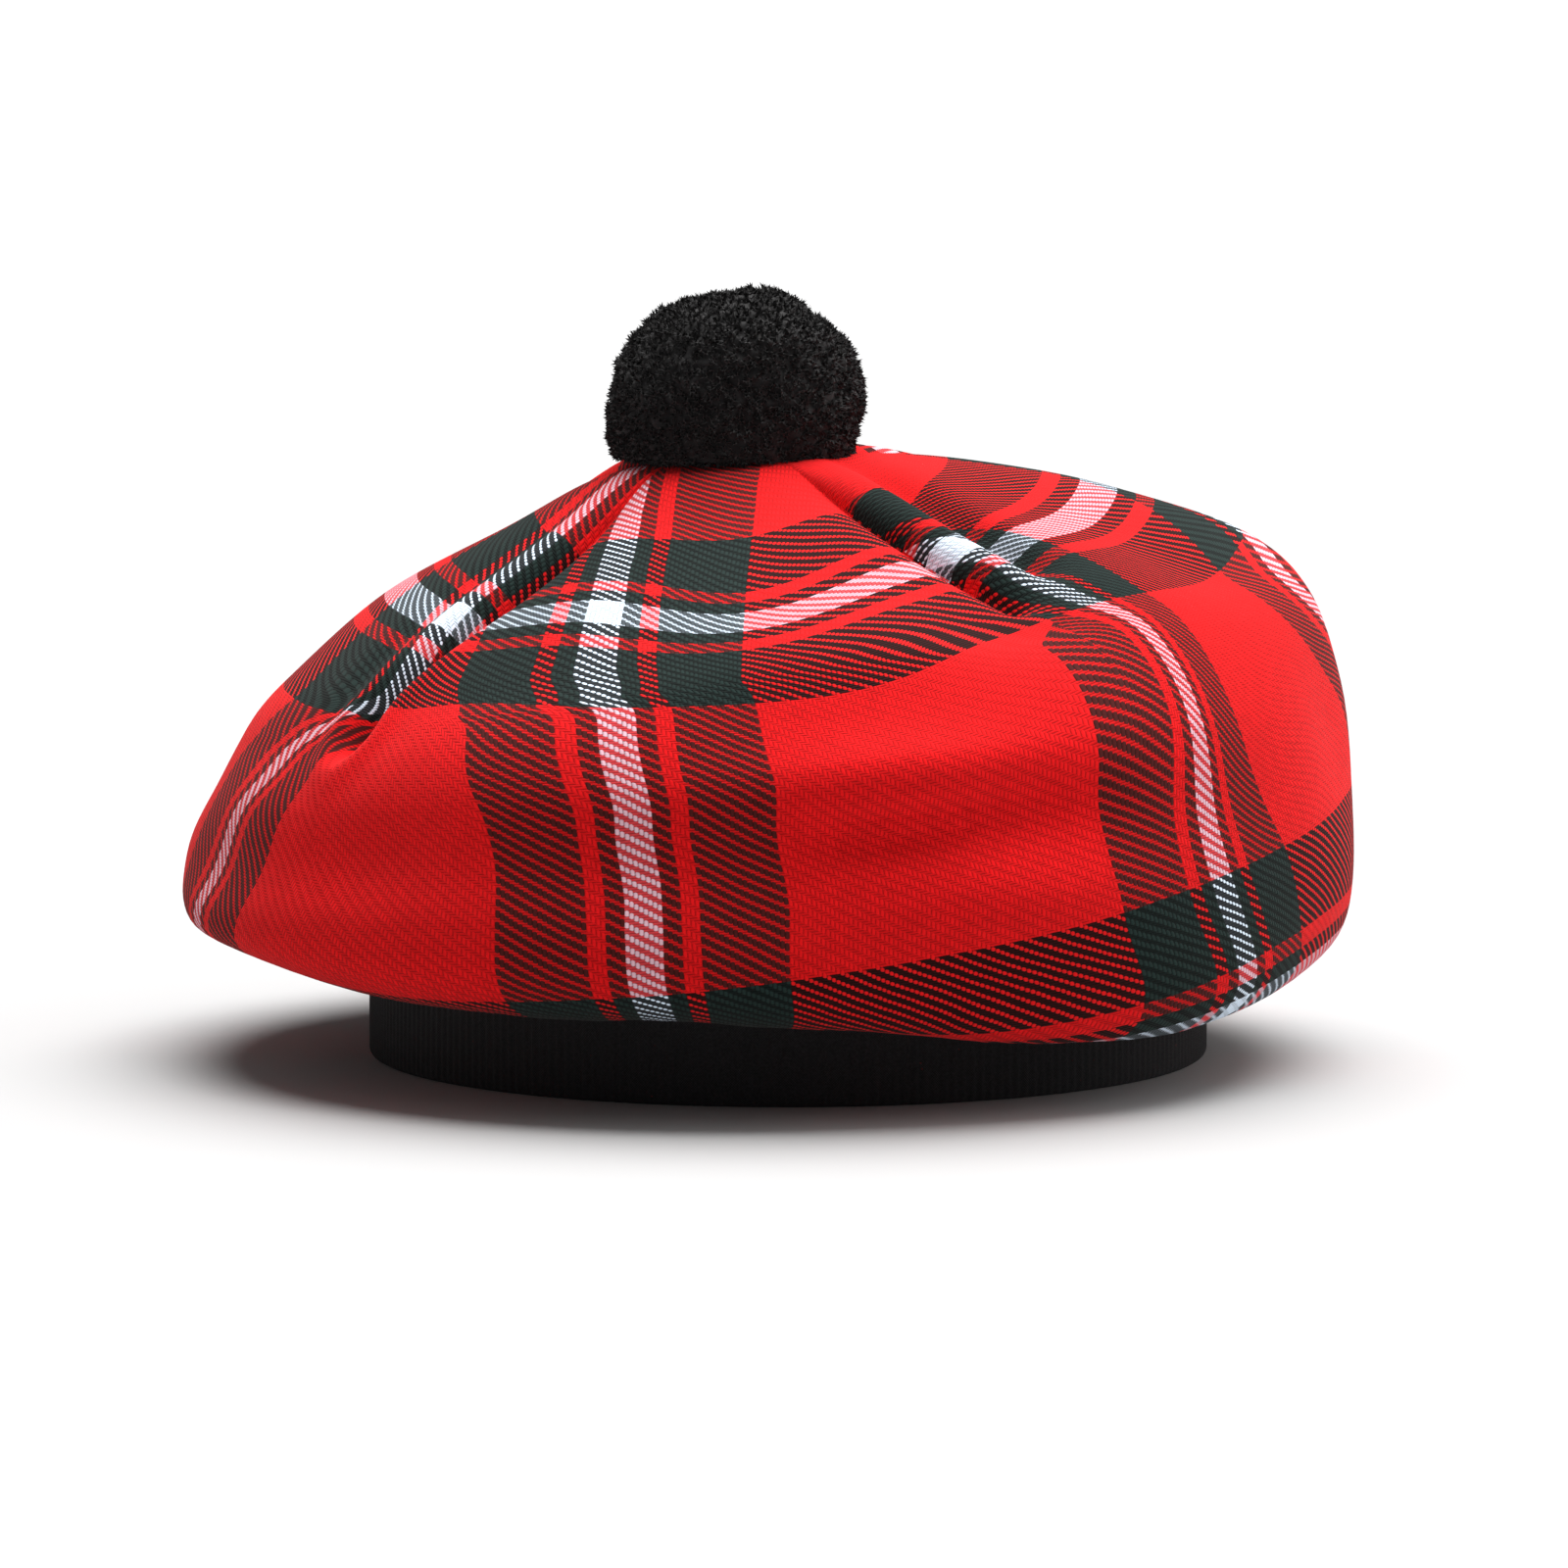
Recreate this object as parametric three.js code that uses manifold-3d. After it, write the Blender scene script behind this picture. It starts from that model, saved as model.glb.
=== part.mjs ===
// A tam o' shanter: a puffed crown of tartan cloth drawn in by four tucks, a plain black headband
// and a wool pompom. Millimetres, +Z up. The hat rests on its headband and its front faces -Y.
import * as THREE from "three";
import { mergeVertices } from "three/addons/utils/BufferGeometryUtils.js";
import Module from "manifold-3d";

// Driving dimensions
const HEADBAND_RADIUS = 93.5;
const HEADBAND_WALL = 3.4;
const HEADBAND_HEIGHT = 25;
const HEADBAND_ROUNDING = 1.1;
const CLOTH_WALL = 1.8;
const PIECE_GAP = 0.3;
const POMPOM_RADIUS = 28.6;
const POMPOM_CENTRE_HEIGHT = 144;
const LOCK_RADIUS = 5.2;
const LOCK_COUNT = 72;

// How finely the forms are faceted
const FACETS_PER_PANEL = 18;
const STEPS_PER_SECTION = 2;
const TUCK_CROWDING = 0.65;
const HEADBAND_FACETS = 72;

// The crown's sections, from its centre under the pompom down to the seam on the headband.
// middle is where the section's own centre lies on X. Each direction gives how far out from that
// centre, and how high, the outside of the cloth is: the crown droops to the left, stands boxy on
// the right and hangs lowest at the front right.
const SECTIONS = [
  { name: "centre", middle: -11.8, left: [0, 134.2], front: [0, 134.2], right: [0, 134.2], back: [0, 134.2] },
  { name: "pompom edge", middle: -11.8, left: [24, 131.6], front: [24, 132.8], right: [26, 134.4], back: [24, 132] },
  { name: "upper top", middle: -11.8, left: [50, 117.8], front: [52, 122], right: [55, 131.8], back: [52, 122] },
  { name: "middle top", middle: -11.8, left: [79, 101.9], front: [80, 110], right: [84, 126], back: [80, 110.5] },
  { name: "outer top", middle: -11, left: [101.4, 82.5], front: [106, 99], right: [113, 116.1], back: [105, 99] },
  { name: "shoulder", middle: -8, left: [114.5, 69], front: [119, 90.5], right: [124, 103.5], back: [119, 86] },
  { name: "upper side", middle: -6, left: [123.5, 56.5], front: [130.5, 74.5], right: [129.5, 83], back: [128, 70] },
  { name: "middle side", middle: -5, left: [128.8, 45], front: [133, 59], right: [131, 60], back: [131.5, 55] },
  { name: "lower side", middle: -4.6, left: [130.2, 35.5], front: [136, 43], right: [130.4, 40], back: [132.5, 40.5] },
  { name: "turn", middle: -4, left: [126.5, 28.6], front: [134.5, 30], right: [125.5, 26], back: [129, 29] },
  { name: "lowest", middle: -2.5, left: [116, 26], front: [125, 21], right: [113, 17.8], back: [118, 23] },
  { name: "underside", middle: -0.8, left: [104, 24.6], front: [108, 21.2], right: [102.5, 19.4], back: [105, 22.4] },
  { name: "seam", middle: 0, left: [94.6, 25.2], front: [94.6, 25.2], right: [94.6, 25.2], back: [94.6, 25.2] },
  { name: "cut edge", middle: 0, left: [90.4, 25.3], front: [90.4, 25.3], right: [90.4, 25.3], back: [90.4, 25.3] },
];

// The tucks that draw the cloth in to the centre, in order round the crown. angle is in degrees
// from +X at the tuck's end, and sweep is how far the tuck turns from the centre to there; start and
// end are how far out the tuck begins under the pompom and dies into the side. hem is the rounded lip
// beside the tuck, and hemSide the side it is on: 1 anticlockwise, -1 clockwise.
const TUCKS = [
  { name: "front left", angle: -139, sweep: -10, start: 8, end: 116, depth: 9, width: 7, hem: 2.4, hemSide: -1 },
  { name: "front right", angle: -52.5, sweep: 14.7, start: 8, end: 120, depth: 8.5, width: 7, hem: 2.8, hemSide: 1 },
  { name: "back right", angle: 47, sweep: 0, start: 8, end: 112, depth: 8, width: 7.5, hem: 1.6, hemSide: -1 },
  { name: "back left", angle: 136, sweep: 0, start: 8, end: 110, depth: 8.5, width: 7.5, hem: 1.6, hemSide: 1 },
];
const TUCK_OPENING = 26;
const TUCK_CLOSING = 15;
const HEM_DISTANCE = 1.9;

// Soft dents and swells in the puffed cloth. section is the row of SECTIONS at its middle, spread is
// its half-width in degrees, reach its half-height in sections and lift how far out it stands.
const DENTS = [
  { name: "tucked under", angle: -58, section: 4.1, spread: 11, reach: 1.2, lift: -4.5 },
  { name: "right top hollow", angle: -25, section: 3.9, spread: 13, reach: 0.9, lift: -4.5 },
  { name: "front right bulge", angle: -77, section: 5.5, spread: 13, reach: 0.5, lift: 3.4 },
  { name: "front valley left", angle: -81, section: 6.45, spread: 7, reach: 0.4, lift: -2.4 },
  { name: "front valley middle", angle: -71, section: 6.25, spread: 8, reach: 0.4, lift: -3.2 },
  { name: "front valley right", angle: -62, section: 5.95, spread: 7, reach: 0.4, lift: -2.4 },
  { name: "front right belly", angle: -67, section: 6.95, spread: 13, reach: 0.5, lift: 2.4 },
  { name: "front right swell", angle: -52, section: 6.6, spread: 11, reach: 1.4, lift: 2.6 },
  { name: "front right droop", angle: -50, section: 9.8, spread: 22, reach: 1.3, lift: 3 },
  { name: "front left swell", angle: -118, section: 6.2, spread: 14, reach: 1.6, lift: 1.6 },
  { name: "right hollow", angle: -14, section: 6.2, spread: 10, reach: 0.9, lift: -2.6 },
  { name: "left hollow", angle: -160, section: 6.8, spread: 10, reach: 1.2, lift: -1.8 },
  { name: "back hollow", angle: 96, section: 6.3, spread: 14, reach: 1.1, lift: -3 },
  { name: "back left hollow", angle: 158, section: 5.6, spread: 9, reach: 1, lift: -2 },
];

// The gathers that take the cloth in to the headband, and the slow waves of its lower edge
const GATHER_COUNT = 16;
const GATHER_HEIGHT = 1.1;
const WAVE_COUNT = 5;
const WAVE_HEIGHT = 0.9;
const LOWEST_SECTION = 10;
const GATHER_SECTION = 11;

const DEGREE = Math.PI / 180;
const LAST_SECTION = SECTIONS.length - 1;
const DIRECTIONS = ["right", "back", "left", "front"];

const wasm = await Module();
wasm.setup();

// The smoothest curve round the crown through the values at its right, back, left and front
function around(angle, [right, back, left, front]) {
  const mean = (right + back + left + front) / 4;
  const sideways = ((right - left) / 2) * Math.cos(angle);
  const lengthways = ((back - front) / 2) * Math.sin(angle);
  const squareness = ((right + left - back - front) / 4) * Math.cos(2 * angle);
  return mean + sideways + lengthways + squareness;
}

// A smooth curve through a value of each section, at a section number that may fall between two
function between(section, valueOf) {
  const row = Math.min(Math.floor(section), LAST_SECTION - 1);
  const part = section - row;
  const at = (i) => valueOf(SECTIONS[THREE.MathUtils.clamp(i, 0, LAST_SECTION)]);
  const [before, from, to, after] = [at(row - 1), at(row), at(row + 1), at(row + 2)];
  const slopeFrom = (to - before) / 2;
  const slopeTo = (after - from) / 2;
  const rise = to - from;
  const cubic = slopeFrom + slopeTo - 2 * rise;
  const square = rise - slopeFrom - cubic;
  return from + part * (slopeFrom + part * (square + part * cubic));
}

// The distance from the section's centre to the cloth, before folds and dents
function reachAt(angle, section) {
  return Math.max(0, between(section, (row) => around(angle, DIRECTIONS.map((d) => row[d][0]))));
}

// A point on the outside of the crown before its folds and dents
function plainPoint(angle, section) {
  const middle = between(section, (row) => row.middle);
  const out = reachAt(angle, section);
  const up = between(section, (row) => around(angle, DIRECTIONS.map((d) => row[d][1])));
  return new THREE.Vector3(middle + out * Math.cos(angle), out * Math.sin(angle), up);
}

// The outward direction of the crown there
function outward(angle, section) {
  const step = 0.02;
  const low = Math.max(section - step, 0.1);
  const high = Math.min(section + step, LAST_SECTION);
  const along = plainPoint(angle, high).sub(plainPoint(angle, low));
  const middle = (low + high) / 2;
  const across = plainPoint(angle + step, middle).sub(plainPoint(angle - step, middle));
  return along.cross(across).normalize();
}

const bump = (distance) => Math.exp(-distance * distance);
const turnBetween = (a, b) => Math.atan2(Math.sin(a - b), Math.cos(a - b));

// The angle of a tuck at a distance out from the centre
const tuckAngle = (tuck, out) => (tuck.angle - tuck.sweep * (1 - Math.min(out / tuck.end, 1))) * DEGREE;

// How far the cloth stands out of the plain form: tucks, hems, dents, gathers and waves
function relief(angle, section) {
  const out = reachAt(angle, section);
  const { smoothstep } = THREE.MathUtils;
  let lift = 0;
  for (const tuck of TUCKS) {
    const turn = turnBetween(angle, tuckAngle(tuck, out));
    if (Math.abs(turn) > Math.PI / 2) continue;
    const opening = smoothstep(out, tuck.start, tuck.start + TUCK_OPENING);
    const closing = 1 - smoothstep(out, tuck.end - TUCK_CLOSING, tuck.end);
    const across = (out * Math.sin(turn)) / tuck.width;
    const strength = section < SECTIONS.length / 2 ? opening * closing : 0;
    lift += strength * (tuck.hem * bump(across * tuck.hemSide - HEM_DISTANCE) - tuck.depth * bump(across));
  }
  for (const dent of DENTS) {
    const turn = turnBetween(angle, dent.angle * DEGREE) / (dent.spread * DEGREE);
    lift += dent.lift * bump(turn) * bump((section - dent.section) / dent.reach);
  }
  const wave = WAVE_HEIGHT * Math.sin(WAVE_COUNT * angle) * bump(section - LOWEST_SECTION);
  const gather = GATHER_HEIGHT * Math.cos(GATHER_COUNT * angle) * bump((section - GATHER_SECTION) * 1.5);
  return lift + wave + gather;
}

// A point on the crown, inset from its outer face
function crownPoint(angle, section, inset) {
  const point = plainPoint(angle, section);
  return point.addScaledVector(outward(angle, section), relief(angle, section) - inset);
}

// The angles of the crown's facets at a section, closer together at each tuck
function crownAngles(section) {
  const creases = TUCKS.map((tuck) => tuckAngle(tuck, reachAt(tuck.angle * DEGREE, section)));
  const angles = [];
  creases.forEach((crease, i) => {
    const next = i + 1 < creases.length ? creases[i + 1] : creases[0] + 2 * Math.PI;
    for (let k = 0; k < FACETS_PER_PANEL; k++) {
      const part = k / FACETS_PER_PANEL;
      const eased = part - (TUCK_CROWDING * Math.sin(2 * Math.PI * part)) / (2 * Math.PI);
      angles.push(crease + (next - crease) * eased);
    }
  });
  return angles;
}

// A closed body from rings of points, each ring as long as the others. A ring of one point is a pole.
function bodyOfRings(rings, closed) {
  const positions = [];
  const starts = [];
  for (const ring of rings) {
    starts.push(positions.length / 3);
    for (const point of ring) positions.push(point.x, point.y, point.z);
  }
  const indices = [];
  const pairs = closed ? rings.length : rings.length - 1;
  for (let r = 0; r < pairs; r++) {
    const next = (r + 1) % rings.length;
    const count = Math.max(rings[r].length, rings[next].length);
    const corner = (ring, k) => starts[ring] + (rings[ring].length === 1 ? 0 : k % count);
    for (let k = 0; k < count; k++) {
      const [a, b, c, d] = [corner(r, k), corner(r, k + 1), corner(next, k + 1), corner(next, k)];
      if (c !== d) indices.push(a, d, c);
      if (a !== b) indices.push(a, c, b);
    }
  }
  const geometry = new THREE.BufferGeometry();
  geometry.setAttribute("position", new THREE.Float32BufferAttribute(positions, 3));
  geometry.setIndex(indices);
  return geometry;
}

// The rings of one face of the crown, from its centre to its cut edge
function crownRings(inset) {
  const rings = [[crownPoint(0, 0, inset)]];
  rings[0][0].set(SECTIONS[0].middle, 0, SECTIONS[0].front[1] - inset);
  for (let step = 1; step <= LAST_SECTION * STEPS_PER_SECTION; step++) {
    const section = step / STEPS_PER_SECTION;
    rings.push(crownAngles(section).map((angle) => crownPoint(angle, section, inset)));
  }
  return rings;
}

// The crown's cloth: its outer face down to the cut edge, then its inner face back up to the centre
function crownGeometry() {
  return bodyOfRings([...crownRings(0), ...crownRings(CLOTH_WALL).reverse()], false);
}

// The headband: a ring of soft band with rounded lower edges and a flat face to rest on
function headbandGeometry() {
  const inside = HEADBAND_RADIUS - HEADBAND_WALL;
  const round = HEADBAND_ROUNDING;
  const cut = round * (1 - Math.SQRT1_2);
  const profile = [
    [inside + round, 0],
    [HEADBAND_RADIUS - round, 0],
    [HEADBAND_RADIUS - cut, cut],
    [HEADBAND_RADIUS, round],
    [HEADBAND_RADIUS, HEADBAND_HEIGHT],
    [inside, HEADBAND_HEIGHT],
    [inside, round],
    [inside + cut, cut],
    [inside + round, 0],
  ].map(([x, y]) => new THREE.Vector2(x, y));
  return new THREE.LatheGeometry(profile, HEADBAND_FACETS).rotateX(Math.PI / 2);
}

// A manifold solid from a closed geometry, and a geometry back from a solid
function solidOf(geometry) {
  const bare = geometry.clone();
  bare.deleteAttribute("normal");
  bare.deleteAttribute("uv");
  const merged = mergeVertices(bare, 1e-4);
  const vertProperties = new Float32Array(merged.attributes.position.array);
  const triVerts = new Uint32Array(merged.index.array);
  return new wasm.Manifold(new wasm.Mesh({ numProp: 3, vertProperties, triVerts }));
}

function geometryOf(solid) {
  const mesh = solid.getMesh();
  const geometry = new THREE.BufferGeometry();
  geometry.setAttribute("position", new THREE.BufferAttribute(mesh.vertProperties, 3));
  geometry.setIndex(new THREE.BufferAttribute(mesh.triVerts, 1));
  return geometry;
}

// Evenly spread directions over a ball, by the golden angle
function ballDirections(count) {
  const golden = Math.PI * (3 - Math.sqrt(5));
  return Array.from({ length: count }, (_, i) => {
    const z = 1 - (2 * i + 1) / count;
    const flat = Math.sqrt(1 - z * z);
    return new THREE.Vector3(flat * Math.cos(i * golden), flat * Math.sin(i * golden), z);
  });
}

// The pompom: locks of wool fused to a ball, its underside pressed to the shape of the crown
function pompomGeometry() {
  const centre = new THREE.Vector3(SECTIONS[0].middle, 0, POMPOM_CENTRE_HEIGHT);
  const ballRadius = POMPOM_RADIUS - LOCK_RADIUS * 0.6;
  const ball = new THREE.IcosahedronGeometry(ballRadius, 3).translate(centre.x, centre.y, centre.z);
  const locks = ballDirections(LOCK_COUNT).map((direction) => {
    const place = centre.clone().addScaledVector(direction, POMPOM_RADIUS - LOCK_RADIUS);
    const lock = new THREE.IcosahedronGeometry(LOCK_RADIUS, 0);
    return solidOf(lock.translate(place.x, place.y, place.z));
  });
  const wool = locks.reduce((whole, lock) => whole.add(lock), solidOf(ball));
  const crownForm = bodyOfRings([...crownRings(-PIECE_GAP), [new THREE.Vector3(0, 0, 0)]], false);
  return geometryOf(wool.subtract(solidOf(crownForm)));
}

// A named piece with its own finish
function piece(name, geometry, color, roughness) {
  const material = new THREE.MeshStandardMaterial({ color, roughness, metalness: 0 });
  const mesh = new THREE.Mesh(geometry, material);
  mesh.name = name;
  return mesh;
}

const hat = new THREE.Group();
hat.add(piece("crown", crownGeometry(), 0xc8141b, 0.9));
hat.add(piece("headband", headbandGeometry(), 0x0b0b0c, 0.95));
hat.add(piece("pompom", pompomGeometry(), 0x0a0a0b, 1));

// The origin is the middle of the hat's own box, on the surface it rests on
const hatBox = new THREE.Box3().setFromObject(hat);
const hatMiddle = hatBox.getCenter(new THREE.Vector3());
hat.position.set(-hatMiddle.x, -hatMiddle.y, -hatBox.min.z);

export default hat;
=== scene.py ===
"""Dresses a tam o' shanter: a tucked tartan crown, a ribbed black headband and a wool pompom."""
import logging
import math
from dataclasses import dataclass
from enum import Enum

import bpy
import numpy as np
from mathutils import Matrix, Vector, noise


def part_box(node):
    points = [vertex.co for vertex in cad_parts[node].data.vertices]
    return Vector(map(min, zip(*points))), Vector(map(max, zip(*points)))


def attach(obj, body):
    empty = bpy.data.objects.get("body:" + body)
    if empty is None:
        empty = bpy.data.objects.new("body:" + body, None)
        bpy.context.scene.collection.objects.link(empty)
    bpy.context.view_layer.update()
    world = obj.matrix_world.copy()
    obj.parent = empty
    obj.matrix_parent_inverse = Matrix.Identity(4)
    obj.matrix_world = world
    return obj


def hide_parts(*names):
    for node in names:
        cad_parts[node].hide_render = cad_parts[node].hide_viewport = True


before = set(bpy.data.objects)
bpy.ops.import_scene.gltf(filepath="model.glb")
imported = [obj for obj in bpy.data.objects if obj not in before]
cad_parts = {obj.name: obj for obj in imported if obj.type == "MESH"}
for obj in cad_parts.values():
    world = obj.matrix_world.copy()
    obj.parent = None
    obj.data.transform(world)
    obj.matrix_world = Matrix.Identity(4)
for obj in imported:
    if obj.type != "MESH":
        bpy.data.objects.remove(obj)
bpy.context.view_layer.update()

MM = 0.001
# UV units to a millimetre of flat cloth
UV_SCALE = 0.01
log = logging.getLogger("tam")

Socket = bpy.types.NodeSocket
Value = float | tuple | Socket


class Yarn(Enum):
    """The dyed wool yarns of the cloth, as linear colours."""

    RED = (0.68, 0.0065, 0.0080)
    GREEN = (0.0095, 0.0185, 0.0165)
    WHITE = (0.69, 0.80, 0.92)


class Graph:
    """Short calls that build a node tree."""

    def __init__(self, tree: bpy.types.NodeTree) -> None:
        """Start with an empty tree."""
        self.tree = tree
        tree.nodes.clear()

    def node(self, kind: str, inputs: dict | None = None, **settings: object) -> bpy.types.Node:
        """Add a node.

        Args:
            kind: the node's type.
            inputs: a socket to link or a plain value, by the input's name or number.
            settings: the node's own properties.

        Returns:
            The new node.
        """
        node = self.tree.nodes.new(kind)
        for name, value in settings.items():
            setattr(node, name, value)
        for key, value in (inputs or {}).items():
            if isinstance(value, Socket):
                self.tree.links.new(value, node.inputs[key])
            else:
                node.inputs[key].default_value = value
        return node

    def math(self, operation: str, *values: Value) -> Socket:
        """Return what a Math node works out from the values."""
        return self.node("ShaderNodeMath", dict(enumerate(values)), operation=operation).outputs[0]

    def smooth(self, value: Value, low: float, high: float, start: float = 0.0, end: float = 1.0) -> Socket:
        """Return a smooth step from start to end while the value goes from low to high."""
        inputs = dict(enumerate((value, low, high, start, end)))
        return self.node("ShaderNodeMapRange", inputs, interpolation_type="SMOOTHSTEP").outputs[0]

    def mix(self, share: Value, first: Value, second: Value) -> Socket:
        """Return the first colour with the given share of the second in it."""
        return self.node("ShaderNodeMix", {0: share, 6: first, 7: second}, data_type="RGBA").outputs[2]

    def scaled(self, vector: Value, factor: Value) -> Socket:
        """Return a vector or colour multiplied by a factor."""
        return self.node("ShaderNodeVectorMath", {0: vector, "Scale": factor}, operation="SCALE").outputs[0]

    def noise(self, place: Value, scale: float, detail: float = 2.0) -> Socket:
        """Return smooth noise between 0 and 1, as fine as scale, with as many finer layers as detail."""
        return self.node("ShaderNodeTexNoise", {"Vector": place, "Scale": scale, "Detail": detail}).outputs[0]

    def channels(self, colour: Value) -> list[Socket]:
        """Return the red, green and blue of a colour."""
        return list(self.node("ShaderNodeSeparateColor", {0: colour}).outputs)

    def place(self) -> Socket:
        """Return the place in the object's own coordinates."""
        return self.node("ShaderNodeTexCoord").outputs["Object"]

    def flat_cloth(self) -> list[Socket]:
        """Return the place across and along the flat cloth."""
        cloth = self.node("ShaderNodeUVMap", uv_map="cloth").outputs[0]
        return list(self.node("ShaderNodeSeparateXYZ", {0: cloth}).outputs)[:2]

    def bump(self, strength: float, distance: float, height: Value) -> Socket:
        """Return the normal of a surface with the given relief."""
        inputs = {"Strength": strength, "Distance": distance, "Height": height}
        return self.node("ShaderNodeBump", inputs).outputs[0]

    def surface(self, inputs: dict) -> None:
        """End a material's tree in a Principled shader with the given inputs."""
        shader = self.node("ShaderNodeBsdfPrincipled", inputs)
        self.node("ShaderNodeOutputMaterial", {0: shader.outputs[0]})


def new_material(name: str) -> tuple[bpy.types.Material, Graph]:
    """Make a node material.

    Args:
        name: its name.

    Returns:
        The material and the graph of its empty tree.
    """
    material = bpy.data.materials.new(name)
    material.use_nodes = True
    return material, Graph(material.node_tree)


def rgba(colour: tuple[float, float, float]) -> tuple[float, float, float, float]:
    """Return the colour with full opacity."""
    return (*colour, 1.0)


@dataclass(frozen=True)
class Sett:
    """Half of a tartan's repeat, in threads out from the middle of its white stripe."""

    white: int
    inner_green: int
    thin_red: int
    outer_green: int
    red: int

    @property
    def half(self) -> int:
        """Return the threads in half the repeat."""
        return self.white + self.inner_green + self.thin_red + self.outer_green + self.red

    def stripes(self) -> list[tuple[float, Yarn]]:
        """List the stripes outwards.

        Returns:
            Where each stripe starts, as a share of the half repeat, and its yarn.
        """
        counts = (0, self.white, self.inner_green, self.thin_red, self.outer_green)
        yarns = (Yarn.WHITE, Yarn.GREEN, Yarn.RED, Yarn.GREEN, Yarn.RED)
        starts = np.cumsum(counts) / self.half
        return list(zip(starts.tolist(), yarns))


@dataclass(frozen=True)
class TartanTwill:
    """Two-and-two wool twill, drawn thread by thread from the cloth's own flat coordinates.

    Pitches are mm from thread to thread, and white_weft_at is the mm from the crown's centre to a white
    weft stripe. The float fields shape each thread's stretch over two others, as shares of the repeat.
    """

    warp: Sett = Sett(4, 4, 4, 19, 37)
    weft: Sett = Sett(7, 7, 7, 34, 52)
    warp_pitch: float = 0.955
    weft_pitch: float = 0.62
    white_weft_at: float = 93.5
    wander: tuple[float, float] = (1.1, -0.9)
    wander_scale: float = 60.0
    hair_scale: float = 2600.0
    hair_relief: float = 0.5
    thread_relief: float = 0.13 * MM
    thread_shade: tuple[float, float] = (0.52, 1.10)
    mottle: tuple[float, float] = (0.93, 1.07)
    mottle_scale: float = 420.0
    fuzz: float = 0.06
    # share of red in white that lies over red: red lint and painted red bounce light
    red_lint_and_bounce: float = 0.40
    sunk: float = 0.95
    dark_rows: float = 0.95
    bright_rows: float = 0.20
    dark_fullness: float = 0.085
    white_thinness: float = 0.03
    float_slant: float = 0.10
    float_taper: float = 0.40
    float_fray: float = 0.10
    float_edge: tuple[float, float] = (0.235, 0.315)

    def material(self) -> bpy.types.Material:
        """Make the cloth's material.

        Returns:
            The material.
        """
        material, graph = new_material("tartan_twill")
        place = graph.place()
        hairs = graph.math("SUBTRACT", graph.noise(place, self.hair_scale), 0.5)
        counts = self.thread_counts(graph, place)
        warp_number, weft_number = (graph.math("FLOOR", count) for count in counts)
        warp_side, weft_side = (graph.math("SUBTRACT", graph.math("FRACT", count), 0.5) for count in counts)
        warp_yarn = self.stripe(graph, warp_number, self.warp)
        weft_yarn = self.stripe(graph, weft_number, self.weft)
        fuller = graph.math("SUBTRACT", self.fullness(graph, warp_yarn), self.fullness(graph, weft_yarn))
        over = self.warp_over(graph, warp_number, counts[1], warp_side, hairs, fuller)
        shown = graph.mix(over, weft_yarn, warp_yarn)
        under = graph.mix(over, warp_yarn, weft_yarn)
        sunken = graph.scaled(shown, self.sunken_shade(graph, shown, under))
        colour = graph.mix(self.lint(graph, shown, under), sunken, under)
        height = self.height(graph, over, warp_side, weft_side)
        mottle = graph.smooth(graph.noise(place, self.mottle_scale, 3.0), 0.3, 0.7, *self.mottle)
        shade = graph.math("MULTIPLY", self.thread_shading(graph, colour, over, height), mottle)
        relief = graph.math("MULTIPLY_ADD", hairs, self.hair_relief, height)
        graph.surface({
            "Base Color": graph.scaled(colour, shade), "Roughness": 0.9, "Specular IOR Level": 0.08,
            "Normal": graph.bump(0.75, self.thread_relief, relief),
            "Sheen Weight": 0.035, "Sheen Roughness": 0.5, "Sheen Tint": (1.0, 0.80, 0.78, 1.0)})
        return material

    def thread_counts(self, graph: Graph, place: Value) -> tuple[Socket, Socket]:
        """Count the threads, which wander a little.

        Args:
            graph: the graph to build in.
            place: the place on the crown.

        Returns:
            The place across the cloth in warp threads, and along it in weft threads.
        """
        across, along = graph.flat_cloth()
        along = graph.math("SUBTRACT", along, self.white_weft_at * UV_SCALE)
        drift = graph.math("SUBTRACT", graph.noise(place, self.wander_scale, 3.0), 0.5)
        warp = graph.math("MULTIPLY", across, 1 / (UV_SCALE * self.warp_pitch))
        weft = graph.math("MULTIPLY", along, 1 / (UV_SCALE * self.weft_pitch))
        return (graph.math("MULTIPLY_ADD", drift, self.wander[0], warp),
                graph.math("MULTIPLY_ADD", drift, self.wander[1], weft))

    def stripe(self, graph: Graph, thread: Value, sett: Sett) -> Socket:
        """Colour a thread by its number.

        Args:
            graph: the graph to build in.
            thread: the thread's number, 0 just past the middle of a white stripe.
            sett: the repeat it belongs to.

        Returns:
            The thread's colour.
        """
        half = float(sett.half)
        folded = graph.math("PINGPONG", graph.math("ADD", thread, 0.5), half)
        ramp = graph.node("ShaderNodeValToRGB", {0: graph.math("DIVIDE", folded, half)})
        ramp.color_ramp.interpolation = "CONSTANT"
        elements = ramp.color_ramp.elements
        elements.remove(elements[1])
        for start, yarn in sett.stripes():
            element = elements.new(start) if start else elements[0]
            element.color = rgba(yarn.value)
        return ramp.outputs[0]

    def bright(self, graph: Graph, channel: Value, dark: float = 0.0, light: float = 1.0) -> Socket:
        """Return one value where a colour's channel is dark and the other where it is light."""
        return graph.smooth(channel, 0.1, 0.4, dark, light)

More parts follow.
